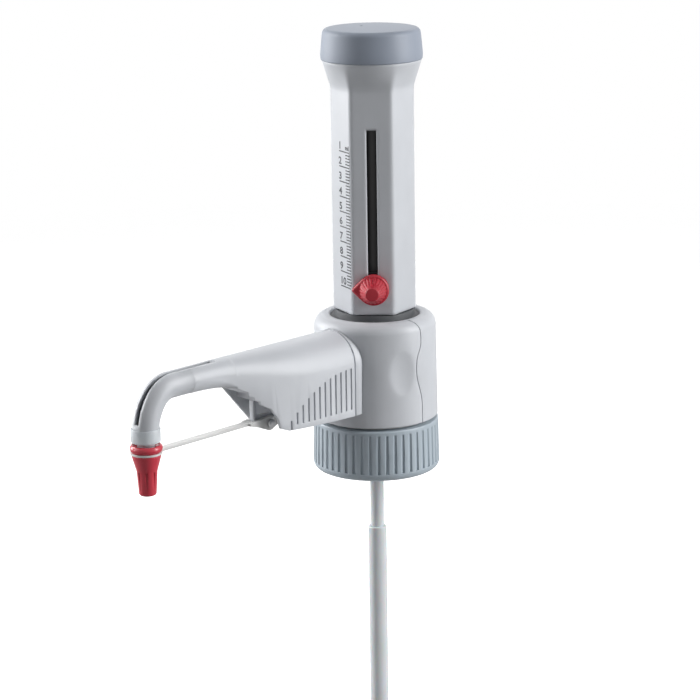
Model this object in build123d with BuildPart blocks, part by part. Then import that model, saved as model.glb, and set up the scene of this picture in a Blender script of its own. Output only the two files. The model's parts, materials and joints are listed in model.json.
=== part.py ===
from build123d import *
import os
from math import cos, radians, sin, sqrt

# Bottle top dispenser, 10 ml, for a GL 45 reagent bottle. Millimetres.
# Origin: on the bottle's axis, where the neck seal rests on the rim. +Z up, discharge arm along -Y.

os.makedirs("parts", exist_ok=True)

# Clearances
play = 0.1  # between pieces that meet and stay together
running = 0.06  # radial, in a running fit
slide_gap = 0.3  # between faces that slide past each other

# Neck seal and swivelling thread collar
seal_thickness = 1.5
seal_inner_r = 15.2
seal_outer_r = 21.5
retainer_thickness = 1.8
retainer_r = 21.8
retainer_hub_depth = 4.0  # below the rim
collar_lip = 1.2
collar_top_r = 27.2
collar_low_r = 27.7
collar_bore_r = 22.9
collar_height = 22.5
collar_foot_round = 3.0
collar_lip_r = 20.1
rib_count = 48
rib_groove_r = 0.85
rib_groove_top = 2.0  # below the collar's top
rib_groove_foot = 3.4  # above the collar's foot
seam_z = seal_thickness + play + retainer_thickness + play + collar_lip
collar_foot_z = seam_z - collar_height

# Valve block casing
block_gap = 1.4  # over the collar
swivel_disc_r = 24.0  # holds the collar down inside that gap
block_height = 45.1
block_low_r = 27.0
block_high_r = 26.3
block_wall = 2.2
block_crown_round = 5.0
well_r = 19.3
well_round = 1.0
shell_split = 0.4
recess_azimuth = 69.0
recess_height = 24.2
recess_depth = 1.0
recess_ball_r = 48.0
recess_round = 8.0
block_z = seam_z + block_gap
block_top_z = block_z + block_height

# Valve body
spigot_r = 14.0
spigot_length = 6.0
base_plate_thickness = 3.0
column_r = 13.0
web_thickness = 2.0
web_reach = 22.0
web_count = 6
duct_height = 33.1  # of the discharge duct over the block's foot
duct_r = 1.2
duct_boss_r = 6.0
duct_boss_reach = 20.0
vent_height = 13.0
vent_boss_r = 4.0
vent_channel_y = 10.5
crown_height = 43.1  # column's top over the block's foot
duct_z = block_z + duct_height
column_top_z = block_z + crown_height
vent_z = block_z + vent_height
base_plate_r = block_low_r - block_wall - play
base_plate_top_z = block_z + base_plate_thickness

# Glass cylinder, its seal and its guard
bore_r = 7.0
glass_wall = 1.6
glass_length = 90.0
glass_socket_depth = 3.8
cylinder_seal_thickness = 0.6
guard_inner_r = 9.6
guard_outer_r = 10.8
guard_length = 87.4
landing_rise = 3.8
landing_crown_r = 17.2
landing_step = 1.2
landing_bevel = 0.4
glass_r = bore_r + glass_wall
socket_floor_z = column_top_z - glass_socket_depth
glass_z = socket_floor_z + cylinder_seal_thickness
chamber_floor_z = duct_z - 3.0

# Filling valve and filling tube
valve_bore_r = 4.0
filling_seat_height = 8.0
filling_cage_height = 5.0
ball_r = 2.2
ball_seat_r = 1.3
ball_lift = 1.5
ball_room_r = 2.6
cage_slot_count = 3
cage_slot_width = 1.2
cage_slot_height = 1.6
tube_outer_r = 3.0
tube_inner_r = 2.0
nipple_length = 10.0
upper_tube_length = 113.0
lower_tube_wall = 1.0
lower_tube_length = 118.0
lower_tube_top = 50.6  # below the collar's top, as the tube is set
filling_seat_z = chamber_floor_z - filling_cage_height - filling_seat_height
nipple_foot_z = -spigot_length - nipple_length
upper_tube_z = -spigot_length - 0.5

# Discharge arm
arm_half_width = 13.5
arm_foot = 6.4  # over the block's foot
plate_front_y = -26.8
plate_thickness = 6.0
arm_axis_height = 37.1  # round arm's axis over the block's foot
arm_r = 5.42
arm_wall = 1.7
arm_front_wall = 2.4
arm_bore_r = 4.2
elbow_near_r = 11.6
elbow_far_r = 19.8
elbow_near_turn = 49.4
elbow_y = -120.7
elbow_start_y = -94.0
arm_drop_end = 19.1  # arm's end over the block's foot
tube_rise_start_y = -56.0
tube_rise_end_y = -90.0
tube_bend_r = 60.0
discharge_tube_r = 3.0
discharge_bore_r = 1.5
discharge_tube_y = -43.0
tip_height = 7.6  # discharge tube's end over the block's foot
groove_width = 2.3
groove_rim = 1.1  # flat beside the slot
groove_rim_depth = 0.45
groove_start_y = -98.0
groove_end_height = 24.0
flank_groove_count = 12
flank_groove_pitch = 3.13
flank_groove_width = 0.9
flank_groove_depth = 0.6
flank_groove_first_y = -29.6
flank_groove_top = 27.7  # over the block's foot, at the plate
flank_groove_fall = 15.8
flank_groove_curve = 2.2
flank_groove_foot = 9.7
flank_groove_last_foot = 7.5
plate_seam_width = 0.55
plate_seam_depth = 0.7
rib_thickness = 1.5
tube_ribs = [(-57.0, 11.8), (-75.0, 21.3), (-84.0, 27.0)]  # place, and foot over the block's foot
# Along the arm: place, half width there, and how far the ridge lies under the round arm's
arm_stations = [
    (26.9, 13.5, 0.45),
    (42.0, 13.35, 0.42),
    (56.0, 12.6, 0.36),
    (68.0, 11.1, 0.28),
    (80.0, 8.9, 0.15),
    (90.0, 6.95, 0.0),
]
# Where the arch closes into the round arm: place, half width, foot over the block's foot, corner
neck_lap = 0.02  # over the round arm's crown
neck_stations = [
    (90.0, 6.95, 30.2, 1.2),
    (96.0, 6.1, 31.3, 3.2),
    (104.0, 5.62, 31.6, 4.8),
    (112.0, 5.44, 31.66, 5.34),
]
# Lower edges of the two flanks, heights over the block's foot
near_edge = [
    (-26.0, 6.4),
    (-65.0, 7.8),
    (-69.3, 9.4),
    (-70.6, 14.0),
    (-73.9, 18.8),
    (-79.0, 21.4),
    (-79.2, 22.9),
    (-81.8, 23.7),
    (-82.0, 25.1),
    (-84.6, 26.1),
    (-84.9, 28.0),
    (-91.0, 30.5),
]
far_edge = [
    (-26.0, 6.4),
    (-65.0, 7.8),
    (-84.9, 27.3),
    (-91.0, 30.5),
]
arm_axis_z = block_z + arm_axis_height
arm_foot_z = block_z + arm_foot
arm_end_z = block_z + arm_drop_end
plate_ridge_z = arm_axis_z + arm_r - 0.45
nozzle_y = (
    elbow_y
    - elbow_near_r * sin(radians(elbow_near_turn))
    - elbow_far_r * (1 - sin(radians(elbow_near_turn)))
)

# Discharge valve
discharge_valve_r = 4.4
discharge_socket_y = -13.5
discharge_seat_y = -20.0
discharge_split_y = -30.0
discharge_end_y = -44.0
discharge_ball_r = 2.0
discharge_ball_room = 0.4
spring_r = 1.4
spring_wire_r = 0.2
spring_turns = 4

# Nozzle and tip cap
nozzle_sleeve_r = 6.0
nozzle_sleeve_foot = 16.4  # over the block's foot
nozzle_sleeve_height = 5.6
nozzle_neck_r = 3.6
nozzle_neck_length = 4.5
cap_gap = 1.1
cap_flange_r = 6.6
cap_flange_height = 2.9
cap_groove_r = 5.6
cap_shoulder_r = 5.9
cap_groove_height = 1.1
cap_waist_r = 4.2
cap_waist_drop = 10.9
cap_foot_r = 3.5
cap_height = 21.1
cap_foot_round = 1.1
cap_mouth_r = 4.9
cap_throat_depth = 2.6
cap_throat_r = 3.9
cap_bore_depth = 9.0
cap_well_depth = 12.5
cap_flute_count = 8
cap_flute_r = 0.7
cap_top_z = block_z + nozzle_sleeve_foot - cap_gap
cap_foot_z = cap_top_z - cap_height
groove_top_z = cap_top_z - cap_flange_height

# Cap strap, its clip and its pin
strap_thickness = 1.2
strap_width = 3.6
strap_ring_thickness = 0.8
strap_ring_wall = 0.75
strap_rise = -0.4  # strap's underside over the ring's
strap_root_length = 1.8
fork_y = -76.15
fork_length = 3.0
pivot_y = -68.0
pivot_height = 10.2
pin_r = 1.2
pin_head_r = 1.9
pin_head_thickness = 0.8
clip_thickness = 2.5
ear_thickness = 1.6
ear_r = 3.0
ear_tail = 8.0
pivot_z = block_z + pivot_height
clip_back_y = tube_ribs[0][0] - rib_thickness / 2 - play
clip_front_y = tube_ribs[1][0] - rib_thickness / 2
clip_top_z = block_z + tube_ribs[1][1] - play
clip_edge = [
    (clip_front_y, clip_top_z),
    (clip_front_y + rib_thickness, clip_top_z),
    (pivot_y - 6.0, pivot_z + 5.3),
    (pivot_y - 3.0, pivot_z + 3.4),
    (pivot_y + 4.0, pivot_z + 3.0),
    (clip_back_y, pivot_z + 6.3),
    (clip_back_y, pivot_z + 1.8),
    (pivot_y + 4.0, pivot_z - 2.0),
    (pivot_y, pivot_z - 3.0),
    (pivot_y - 3.0, pivot_z - 2.0),
    (clip_front_y, pivot_z + 2.3),
]

# Piston sleeve, a hexagon that flares into a round top
sleeve_azimuth = 40.8  # of the slotted facet, from -Y towards +X
sleeve_apothem = 15.65
sleeve_wall = 1.9
sleeve_edge_round = 2.0
sleeve_lift = 48.7  # over the collar's top
sleeve_flare_height = 96.3
sleeve_height = 107.6
sleeve_top_r = 21.3
sleeve_bore_r = 17.5
sleeve_bore_depth = 3.3
slot_width = 4.2
slot_foot = 6.3  # over the sleeve's foot
slot_top = 79.5
slot_bevel = 0.45
sleeve_z = seam_z + sleeve_lift
sleeve_top_z = sleeve_z + sleeve_height
sleeve_bore_z = sleeve_top_z - sleeve_bore_depth
carrier_z = sleeve_bore_z + play

# Top cap
top_cap_height = 13.2
top_cap_belly_r = 21.75
top_cap_belly = 2.2
top_cap_crown_r = 20.9
top_cap_round = 2.0
top_cap_wall = 2.2
top_cap_skirt_wall = 1.6
cap_skirt_inner_r = sleeve_bore_r - play - top_cap_skirt_wall
key_hole_r = 0.8
key_hole_place = (-7.5, 1.7)

# Piston, rod and calibration
piston_length = 18.0
piston_core_r = 6.6
piston_seal_r = 5.6
piston_seal_height = 3.0
piston_seal_inset = 1.6
rod_r = 3.2
rod_thread_r = 2.0
rod_thread_length = 8.0
carrier_thickness = 3.0
carrier_rim = 1.2
carrier_boss_r = 6.0
carrier_boss_length = 6.0
nut_r = 8.5
nut_thickness = 4.0
nut_notch_count = 12
nut_notch_r = 0.9
lock_nut_flats = 8.0
lock_nut_thickness = 2.4
piston_z = duct_z + 2.4

# Volume setting: pointer, inner slider, rack and thumb screw
ml_step = 6.496  # travel for one millilitre
pointer_height = 60.0  # pointer's centre over the collar's top, at 10 ml
pointer_thickness = 2.4
pointer_r = 6.7
pointer_centre_u = 0.2
pointer_tip_u = -9.0
pointer_tip_r = 0.9
pointer_bevel = 0.6
shank_width = 3.5
shank_height = 9.0
slider_thickness = 1.0
slider_width = 10.0
slider_height = 13.0
rack_thickness = 0.9
rack_width = 13.0
rack_tooth_pitch = ml_step / 5
rack_tooth_depth = 0.4
rack_margin = 4.0
ridge_side = 0.45
stud_r = 1.1
knob_length = 8.0
knob_base_r = 5.9
knob_end_r = 2.8
pointer_z = seam_z + pointer_height
facet_inner = sleeve_apothem - sleeve_wall

# Vent cap on the rear shell
vent_cap_r = 5.0
vent_cap_depth = 4.0
vent_stub_r = 3.0
vent_notch_count = 12
vent_notch_r = 0.6

facet = Plane(
    origin=(0, 0, 0),
    x_dir=(cos(radians(sleeve_azimuth)), sin(radians(sleeve_azimuth)), 0),
    z_dir=(sin(radians(sleeve_azimuth)), -cos(radians(sleeve_azimuth)), 0),
)
hexagon_turn = sleeve_azimuth - 120
nozzle_axis = Axis((0, nozzle_y, 0), (0, 0, 1))
nozzle_plane = Plane(origin=(0, nozzle_y, 0), x_dir=(1, 0, 0), z_dir=(0, -1, 0))
low = (Align.CENTER, Align.CENTER, Align.MIN)


# A closed outline on a plane, as a face.
def outline(plane, points):
    with BuildSketch(plane) as section:
        with BuildLine():
            Polyline(*points, close=True)
        make_face()
    return section.sketch


# An arch: upright sides under a half circle.
def arch(plane, half_width, foot, ridge):
    springing = ridge - half_width
    with BuildSketch(plane) as section:
        with BuildLine():
            Line((-half_width, foot), (-half_width, springing))
            ThreePointArc((-half_width, springing), (0, ridge), (half_width, springing))
            Line((half_width, springing), (half_width, foot))
            Line((half_width, foot), (-half_width, foot))
        make_face()
    return section.sketch


# The arch's round top over a flat foot with rounded corners, which narrows to the round arm.
def neck_section(plane, half_width, foot, corner):
    ridge = arm_axis_z + arm_r + neck_lap
    springing = ridge - half_width
    bend = corner * (1 - sqrt(0.5))
    with BuildSketch(plane) as section:
        with BuildLine():
            ThreePointArc((-half_width, springing), (0, ridge), (half_width, springing))
            Line((half_width, springing), (half_width, foot + corner))
            ThreePointArc(
                (half_width, foot + corner),
                (half_width - bend, foot + bend),
                (half_width - corner, foot),
            )
            Line((half_width - corner, foot), (corner - half_width, foot))
            ThreePointArc(
                (corner - half_width, foot),
                (bend - half_width, foot + bend),
                (-half_width, foot + corner),
            )
            Line((-half_width, foot + corner), (-half_width, springing))
        make_face()
    return section.sketch


# A hexagon in line with the sleeve's facets, its corners rounded.
def hexagon(height, apothem, corner_round):
    with BuildSketch(Plane.XY.offset(height)) as section:
        RegularPolygon(radius=apothem, side_count=6, major_radius=False, rotation=hexagon_turn)
        fillet(section.vertices(), radius=corner_round)
    return section.sketch


# The round arm's line as seen from the side, from one place on its run down to a height.
# Out is how far it lies outside the centre line.
def elbow_line(start, end_height, out=0):
    far_turn = 90 - elbow_near_turn
    with BuildLine() as path:
        run = Line((start, arm_axis_z + out), (elbow_y, arm_axis_z + out))
        near = JernArc(run @ 1, run % 1, elbow_near_r + out, elbow_near_turn)
        far = JernArc(near @ 1, near % 1, elbow_far_r + out, far_turn)
        Line(far @ 1, (nozzle_y - out, end_height))
    return path.line


# The discharge tube's centre line: out of the valve, up to the round arm, and down to the tip.
def discharge_path():
    with BuildLine(Plane.YZ) as path:
        rise = FilletPolyline(
            (discharge_tube_y, duct_z),
            (tube_rise_start_y, duct_z),
            (tube_rise_end_y, arm_axis_z),
            (elbow_y, arm_axis_z),
            radius=tube_bend_r,
        )
        near = JernArc(start=rise @ 1, tangent=rise % 1, radius=elbow_near_r, arc_size=elbow_near_turn)
        far = JernArc(start=near @ 1, tangent=near % 1, radius=elbow_far_r, arc_size=90 - elbow_near_turn)
        Line(far @ 1, (nozzle_y, block_z + tip_height))
    return path.line


def tube_section(radius):
    with BuildSketch(Plane.XZ.offset(-discharge_tube_y) * Location((0, duct_z, 0))) as section:
        Circle(radius)
    return section.sketch


# ---- Collar and seal ----
with BuildPart() as neck_seal:
    Cylinder(seal_outer_r, seal_thickness, align=low)
    Cylinder(seal_inner_r, seal_thickness, align=low, mode=Mode.SUBTRACT)

with BuildPart() as thread_collar:
    with BuildSketch(Plane.XZ) as collar_section:
        with BuildLine():
            Polyline(
                (collar_bore_r, collar_foot_z),
                (collar_low_r, collar_foot_z),
                (collar_top_r, seam_z),
                (collar_lip_r, seam_z),
                (collar_lip_r, seam_z - collar_lip),
                (collar_bore_r, seam_z - collar_lip),
                close=True,
            )
        make_face()
        fillet(
            collar_section.vertices().sort_by_distance((collar_low_r, collar_foot_z))[0],
            radius=collar_foot_round,
        )
        fillet(collar_section.vertices().sort_by_distance((collar_top_r, seam_z))[0], radius=0.6)
    revolve(axis=Axis.Z)
    groove_height = collar_height - rib_groove_top - rib_groove_foot
    with Locations((0, 0, collar_foot_z + rib_groove_foot)):
        with PolarLocations(collar_low_r, rib_count):
            Cylinder(rib_groove_r, groove_height, align=low, mode=Mode.SUBTRACT)

# ---- Valve body and what holds it to the collar ----
with BuildPart() as retaining_ring:
    with BuildSketch(Plane.XY.offset(seal_thickness + play)):
        Circle(retainer_r)
        Circle(spigot_r + play, mode=Mode.SUBTRACT)
    extrude(amount=retainer_thickness)
    with BuildSketch(Plane.XY.offset(-retainer_hub_depth)):
        Circle(seal_inner_r - slide_gap)
        Circle(spigot_r + play, mode=Mode.SUBTRACT)
    extrude(amount=retainer_hub_depth + seal_thickness + play)

with BuildPart() as valve_body:
    with Locations((0, 0, nipple_foot_z)):
        Cylinder(tube_inner_r - running, nipple_length, align=low)
    with Locations((0, 0, -spigot_length)):
        Cylinder(spigot_r, spigot_length + seam_z - collar_lip, align=low)
    with Locations((0, 0, seam_z - collar_lip)):
        Cylinder(collar_lip_r - slide_gap, collar_lip + block_gap, align=low)
    with Locations((0, 0, seam_z + slide_gap)):
        Cylinder(swivel_disc_r, block_gap - slide_gap, align=low)
    with Locations((0, 0, block_z)):
        Cylinder(base_plate_r, base_plate_thickness, align=low)
        Cylinder(column_r, crown_height, align=low)
    with Locations((0, 0, base_plate_top_z)):
        with PolarLocations(web_reach / 2, web_count):
            Box(web_reach, web_thickness, vent_height, align=low)
    with Locations(Plane.XZ * Location((0, duct_z, 0))):
        Cylinder(duct_boss_r, duct_boss_reach, align=low)
    with Locations(Plane.XZ * Location((0, vent_z, 0))):
        vent_reach = block_low_r - block_wall - 1.0
        Cylinder(vent_boss_r, vent_reach, align=(Align.CENTER, Align.CENTER, Align.MAX))
    # Glass socket, chamber, filling valve bore and suction channel on the axis
    with Locations((0, 0, socket_floor_z)):
        Cylinder(glass_r + play, glass_socket_depth, align=low, mode=Mode.SUBTRACT)
    with Locations((0, 0, chamber_floor_z)):
        Cylinder(bore_r, socket_floor_z - chamber_floor_z, align=low, mode=Mode.SUBTRACT)
    with Locations((0, 0, filling_seat_z)):
        Cylinder(valve_bore_r, chamber_floor_z - filling_seat_z, align=low, mode=Mode.SUBTRACT)
    with Locations((0, 0, nipple_foot_z)):
        Cylinder(duct_r, filling_seat_z - nipple_foot_z, align=low, mode=Mode.SUBTRACT)
    # Discharge duct and the discharge valve's socket
    with Locations(Plane.XZ * Location((0, duct_z, 0))):
        Cylinder(duct_r, duct_boss_reach, align=low, mode=Mode.SUBTRACT)
    with Locations(Plane.XZ.offset(-discharge_socket_y) * Location((0, duct_z, 0))):
        Cylinder(
            discharge_valve_r + play,
            duct_boss_reach + discharge_socket_y,
            align=low,
            mode=Mode.SUBTRACT,
        )
    # Air way from the vent to the bottle
    with Locations(Plane.XZ.offset(-vent_channel_y) * Location((0, vent_z, 0))):
        vent_run = vent_reach - vent_channel_y
        Cylinder(duct_r, vent_run, align=(Align.CENTER, Align.CENTER, Align.MAX), mode=Mode.SUBTRACT)
    with Locations((0, vent_channel_y, -spigot_length)):
        Cylinder(duct_r, spigot_length + vent_z, align=low, mode=Mode.SUBTRACT)

# ---- Casing shells, parted along a wavy seam on both sides ----
with BuildPart() as casing:
    with BuildSketch(Plane.XZ) as casing_section:
        with BuildLine():
            Polyline(
                (block_low_r - block_wall, block_z),
                (block_low_r, block_z),
                (block_high_r, block_top_z),
                (well_r, block_top_z),
                (well_r, block_top_z - block_wall),
                (block_high_r - block_wall, block_top_z - block_wall),
                close=True,
            )
        make_face()
        fillet(
            casing_section.vertices().sort_by_distance((block_high_r, block_top_z))[0],
            radius=block_crown_round,
        )
        fillet(
            casing_section.vertices().sort_by_distance(
                (block_high_r - block_wall, block_top_z - block_wall)
            )[0],
            radius=block_crown_round - block_wall,
        )
        fillet(casing_section.vertices().sort_by_distance((well_r, block_top_z))[0], radius=well_round)
        fillet(casing_section.vertices().sort_by_distance((block_low_r, block_z))[0], radius=0.5)
    revolve(axis=Axis.Z)
    # Thumb recesses, one in front of each side seam
    recess_lean = (block_low_r - block_high_r) * recess_height / block_height
    recess_centre = block_low_r - recess_lean - recess_depth + recess_ball_r
    for side in (-1, 1):
        across = side * recess_centre * sin(radians(recess_azimuth))
        along = -recess_centre * cos(radians(recess_azimuth))
        with Locations((across, along, block_z + recess_height)):
            Sphere(recess_ball_r, mode=Mode.SUBTRACT)
    fillet(casing.faces().filter_by(GeomType.SPHERE).edges(), radius=recess_round)

seam_wave = [
    (0.4, -0.9),
    (0.4, 5.0),
    (0.1, 11.4),
    (-1.1, 15.6),
    (-2.4, 20.6),
    (-2.6, 25.4),
    (-1.9, 29.8),
    (0.0, 34.0),
    (0.2, 39.0),
    (-0.7, 43.0),
    (-2.6, 45.6),
    (-3.4, 47.0),
]


# Everything on one side of the casing's wavy seam.
def seam_side(shift, far_y):
    wave = [(y + shift, block_z + height) for y, height in seam_wave]
    with BuildPart() as side:
        with BuildSketch(Plane.YZ):
            with BuildLine():
                Spline(*wave)
                Polyline(wave[-1], (far_y, wave[-1][1]), (far_y, wave[0][1]), wave[0])
            make_face()
        extrude(amount=block_low_r + 1, both=True)
    return side.part


front_side = seam_side(-shell_split / 2, -block_low_r - 1)
rear_side = seam_side(shell_split / 2, block_low_r + 1)

with BuildPart() as front_shell:
    add(casing.part)
    add(front_side, mode=Mode.INTERSECT)
    extrude(
        arch(
            Plane.XZ,
            arm_half_width + play,
            arm_foot_z - play,
            plate_ridge_z + play,
        ),
        amount=block_low_r + 1,
        mode=Mode.SUBTRACT,
    )

with BuildPart() as rear_shell:
    add(casing.part)
    add(rear_side, mode=Mode.INTERSECT)
    with Locations(Plane.XZ * Location((0, vent_z, 0))):
        Cylinder(
            vent_stub_r + play,
            block_low_r + 1,
            align=(Align.CENTER, Align.CENTER, Align.MAX),
            mode=Mode.SUBTRACT,
        )

with BuildPart() as vent_cap:
    with Locations(Plane.XZ.offset(-block_low_r - play) * Location((0, vent_z, 0))):
        Cylinder(vent_cap_r, vent_cap_depth, align=(Align.CENTER, Align.CENTER, Align.MAX))
        Cylinder(vent_stub_r, block_wall + 1.0, align=low)
    fillet(vent_cap.faces().sort_by(Axis.Y)[-1].edges(), radius=0.8)
    with Locations(Plane.XZ.offset(-block_low_r - play) * Location((0, vent_z, 0))):
        with PolarLocations(vent_cap_r + vent_notch_r / 2, vent_notch_count):
            Cylinder(
                vent_notch_r,
                vent_cap_depth,
                align=(Align.CENTER, Align.CENTER, Align.MAX),
                mode=Mode.SUBTRACT,
            )

# ---- Filling valve and filling tube ----
seat_top_z = filling_seat_z + filling_seat_height
ball_centre_z = seat_top_z - sqrt(ball_r**2 - duct_r**2) - running - ball_lift
seat_room_z = ball_centre_z - running - sqrt(ball_r**2 - ball_seat_r**2)

with BuildPart() as filling_valve_seat:
    with Locations((0, 0, filling_seat_z)):
        Cylinder(valve_bore_r - running, filling_seat_height, align=low)
        Cylinder(ball_seat_r, filling_seat_height, align=low, mode=Mode.SUBTRACT)
    with Locations((0, 0, seat_room_z)):
        Cylinder(ball_room_r, seat_top_z - seat_room_z, align=low, mode=Mode.SUBTRACT)

with BuildPart() as filling_valve_cage:
    with Locations((0, 0, seat_top_z)):
        Cylinder(valve_bore_r - running, filling_cage_height, align=low)
        Cylinder(duct_r, filling_cage_height, align=low, mode=Mode.SUBTRACT)
        with PolarLocations(ball_room_r / 2, cage_slot_count):
            Box(ball_room_r, cage_slot_width, cage_slot_height, align=low, mode=Mode.SUBTRACT)

with BuildPart() as filling_ball:
    with Locations((0, 0, ball_centre_z)):
        Sphere(ball_r)

with BuildPart() as filling_tube_upper:
    with Locations((0, 0, upper_tube_z)):
        Cylinder(
            tube_outer_r, upper_tube_length, align=(Align.CENTER, Align.CENTER, Align.MAX)
        )
        Cylinder(
            tube_inner_r,
            upper_tube_length,
            align=(Align.CENTER, Align.CENTER, Align.MAX),
            mode=Mode.SUBTRACT,
        )

with BuildPart() as filling_tube_lower:
    with Locations((0, 0, seam_z - lower_tube_top)):
        Cylinder(
            tube_outer_r + running + lower_tube_wall,
            lower_tube_length,
            align=(Align.CENTER, Align.CENTER, Align.MAX),
        )
        Cylinder(
            tube_outer_r + running,
            lower_tube_length,
            align=(Align.CENTER, Align.CENTER, Align.MAX),
            mode=Mode.SUBTRACT,
        )
    # The mouth is rounded, and the suction end is cut aslant
    fillet(
        filling_tube_lower.faces().sort_by(Axis.Z)[-1].edges().sort_by(SortBy.LENGTH)[-1],
        radius=0.6,
    )
    lower_tube_foot_z = seam_z - lower_tube_top - lower_tube_length
    tube_end_r = tube_outer_r + running + lower_tube_wall
    extrude(
        outline(
            Plane.YZ,
            [
                (-tube_end_r - 1, lower_tube_foot_z + tube_end_r),
                (tube_end_r + 1, lower_tube_foot_z - tube_end_r),
                (-tube_end_r - 1, lower_tube_foot_z - tube_end_r),
            ],
        ),
        amount=tube_end_r + 1,
        both=True,
        mode=Mode.SUBTRACT,
    )

# ---- Glass cylinder, guard and landing ring ----
with BuildPart() as cylinder_seal:
    with Locations((0, 0, socket_floor_z)):
        Cylinder(glass_r, cylinder_seal_thickness, align=low)
        Cylinder(bore_r, cylinder_seal_thickness, align=low, mode=Mode.SUBTRACT)

with BuildPart() as glass_cylinder:
    with Locations((0, 0, glass_z)):
        Cylinder(glass_r, glass_length, align=low)
        Cylinder(bore_r, glass_length, align=low, mode=Mode.SUBTRACT)
    fillet(glass_cylinder.faces().sort_by(Axis.Z)[-1].edges(), radius=0.5)

with BuildPart() as cylinder_guard:
    with Locations((0, 0, column_top_z + play)):
        Cylinder(guard_outer_r, guard_length, align=low)
        Cylinder(guard_inner_r, guard_length, align=low, mode=Mode.SUBTRACT)
    chamfer(cylinder_guard.faces().sort_by(Axis.Z)[-1].edges(), length=0.4)

with BuildPart() as landing_ring:
    landing_z = column_top_z + play
    revolve(
        outline(
            Plane.XZ,
            [
                (guard_outer_r + play, landing_z),
                (well_r - play, landing_z),
                (well_r - play, landing_z + landing_step),
                (landing_crown_r, landing_z + landing_step),
                (landing_crown_r - landing_bevel, landing_z + landing_rise),
                (guard_outer_r + play, landing_z + landing_rise),
            ],
        ),
        axis=Axis.Z,
    )

# ---- Coupling plate and arm housing ----
with BuildPart() as coupling_plate:
    extrude(
        arch(Plane.XZ.offset(-plate_front_y), arm_half_width, arm_foot_z, plate_ridge_z),
        amount=-plate_thickness,
    )
    with Locations(Plane.XZ * Location((0, duct_z, 0))):
        Cylinder(discharge_valve_r + play, -plate_front_y, align=low, mode=Mode.SUBTRACT)

with BuildPart() as arm_hollow:
    for station, half_width, drop in arm_stations:
        inner_plane = Plane.XZ.offset(station + arm_front_wall)
        inner_ridge = arm_axis_z + arm_r - drop - arm_wall
        add(arch(inner_plane, half_width - arm_wall, arm_foot_z - 6, inner_ridge))
    loft()
    for rib_y, rib_foot in tube_ribs:
        with Locations((0, rib_y, block_z + rib_foot)):
            Box(3 * arm_half_width, rib_thickness, arm_axis_height, align=low, mode=Mode.SUBTRACT)


# The housing's half width at a place along the arm.
def half_width_at(reach):
    for (near, near_width, _), (far, far_width, _) in zip(arm_stations, arm_stations[1:]):
        if near <= reach <= far:
            return near_width + (far_width - near_width) * (reach - near) / (far - near)
    return arm_half_width


# Grip grooves on both flanks, their tops on a falling curve
with BuildPart() as flank_grooves:
    for count in range(flank_groove_count):
        share = count / (flank_groove_count - 1)
        groove_y = flank_groove_first_y - count * flank_groove_pitch
        groove_top = flank_groove_top - flank_groove_fall * share**flank_groove_curve
        groove_foot = flank_groove_foot if share < 1 else flank_groove_last_foot
        for side in (-1, 1):
            across = side * (half_width_at(-groove_y) + arm_wall - flank_groove_depth)
            with Locations((across, groove_y, block_z + groove_foot)):
                Box(2 * arm_wall, flank_groove_width, groove_top - groove_foot, align=low)

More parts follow.
